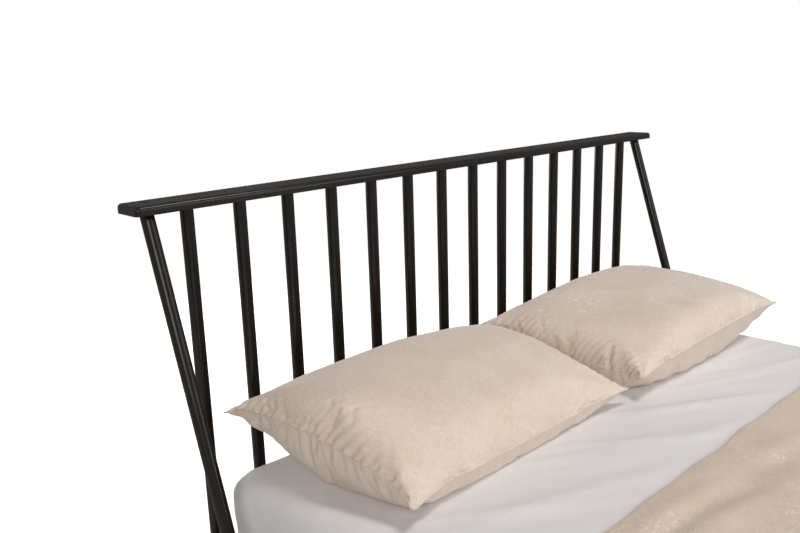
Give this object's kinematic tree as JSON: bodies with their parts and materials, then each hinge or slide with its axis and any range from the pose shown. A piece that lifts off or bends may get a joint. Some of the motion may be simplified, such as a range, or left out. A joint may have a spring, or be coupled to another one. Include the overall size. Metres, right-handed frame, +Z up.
{
  "type": "platform bed",
  "caption": "Platform bed with a black spindle headboard, raked end posts and splayed legs, dressed with a fitted sheet, pillows and a duvet.",
  "frame": {"origin": "on the floor, at the centre of the bed's footprint", "axes": "+X to the right as seen from the foot, +Y from the foot to the head, +Z up"},
  "size_m": [1.7596, 2.236, 1.102],
  "materials": {
    "black_lacquer": "satin",
    "pale_wood": "matte",
    "zinc_steel": "satin",
    "foot_plastic": "matte",
    "felt": "matte",
    "ticking": "matte",
    "sheet_cotton": "matte",
    "pillow_fabric": "matte",
    "duvet_fabric": "matte"
  },
  "bodies": {
    "frame": {"top_rail": "black_lacquer", "spindle_01": "black_lacquer", "spindle_02": "black_lacquer", "spindle_03": "black_lacquer", "spindle_04": "black_lacquer", "spindle_05": "black_lacquer", "spindle_06": "black_lacquer", "spindle_07": "black_lacquer", "spindle_08": "black_lacquer", "spindle_09": "black_lacquer", "spindle_10": "black_lacquer", "spindle_11": "black_lacquer", "spindle_12": "black_lacquer", "spindle_13": "black_lacquer", "spindle_14": "black_lacquer", "raked_post_left": "black_lacquer", "raked_post_right": "black_lacquer", "side_ledge_left": "black_lacquer", "side_ledge_right": "black_lacquer", "head_ledge": "black_lacquer", "foot_ledge": "black_lacquer", "side_apron_left": "black_lacquer", "side_apron_right": "black_lacquer", "head_beam": "black_lacquer", "foot_apron": "black_lacquer", "post_block_left": "black_lacquer", "post_block_right": "black_lacquer", "leg_foot_left": "black_lacquer", "leg_foot_right": "black_lacquer", "leg_head_left": "black_lacquer", "leg_head_right": "black_lacquer", "slat_01": "pale_wood", "slat_02": "pale_wood", "slat_03": "pale_wood", "slat_04": "pale_wood", "slat_05": "pale_wood", "slat_06": "pale_wood", "slat_07": "pale_wood", "slat_08": "pale_wood", "slat_09": "pale_wood", "slat_10": "pale_wood", "slat_11": "pale_wood", "slat_cleat_left": "pale_wood", "slat_cleat_right": "pale_wood", "centre_beam": "pale_wood", "corner_blocks": "pale_wood", "centre_leg_foot": "pale_wood", "centre_leg_head": "pale_wood", "frame_bolts": "zinc_steel", "barrel_nuts": "zinc_steel", "leg_bolts": "zinc_steel", "beam_hangers": "zinc_steel", "leg_glides": "felt"},
    "mattress_set": {"mattress": "ticking", "fitted_sheet": "sheet_cotton"},
    "pillow_left": {"pillow_left": "pillow_fabric"},
    "pillow_right": {"pillow_right": "pillow_fabric"},
    "duvet": {"duvet": "duvet_fabric"},
    "levelling_foot_foot": {"levelling_foot_foot": "foot_plastic"},
    "levelling_foot_head": {"levelling_foot_head": "foot_plastic"}
  },
  "joints": [
    {"name": "mattress_lift", "type": "slide", "parent": "frame", "child": "mattress_set", "axis": [0, 0, 1], "range_m": [0, 0.3]},
    {"name": "pillow_left_lift", "type": "slide", "parent": "mattress_set", "child": "pillow_left", "axis": [0, -0.6, 0.8], "range_m": [0, 0.3]},
    {"name": "pillow_right_lift", "type": "slide", "parent": "mattress_set", "child": "pillow_right", "axis": [0, -0.6, 0.8], "range_m": [0, 0.3]},
    {"name": "duvet_lift", "type": "slide", "parent": "mattress_set", "child": "duvet", "axis": [0, 0, 1], "range_m": [0, 0.4]},
    {"name": "levelling_foot_foot_screw", "type": "slide", "parent": "frame", "child": "levelling_foot_foot", "axis": [0, 0, 1], "range_m": [0, 0.015]},
    {"name": "levelling_foot_head_screw", "type": "slide", "parent": "frame", "child": "levelling_foot_head", "axis": [0, 0, 1], "range_m": [0, 0.015]}
  ]
}
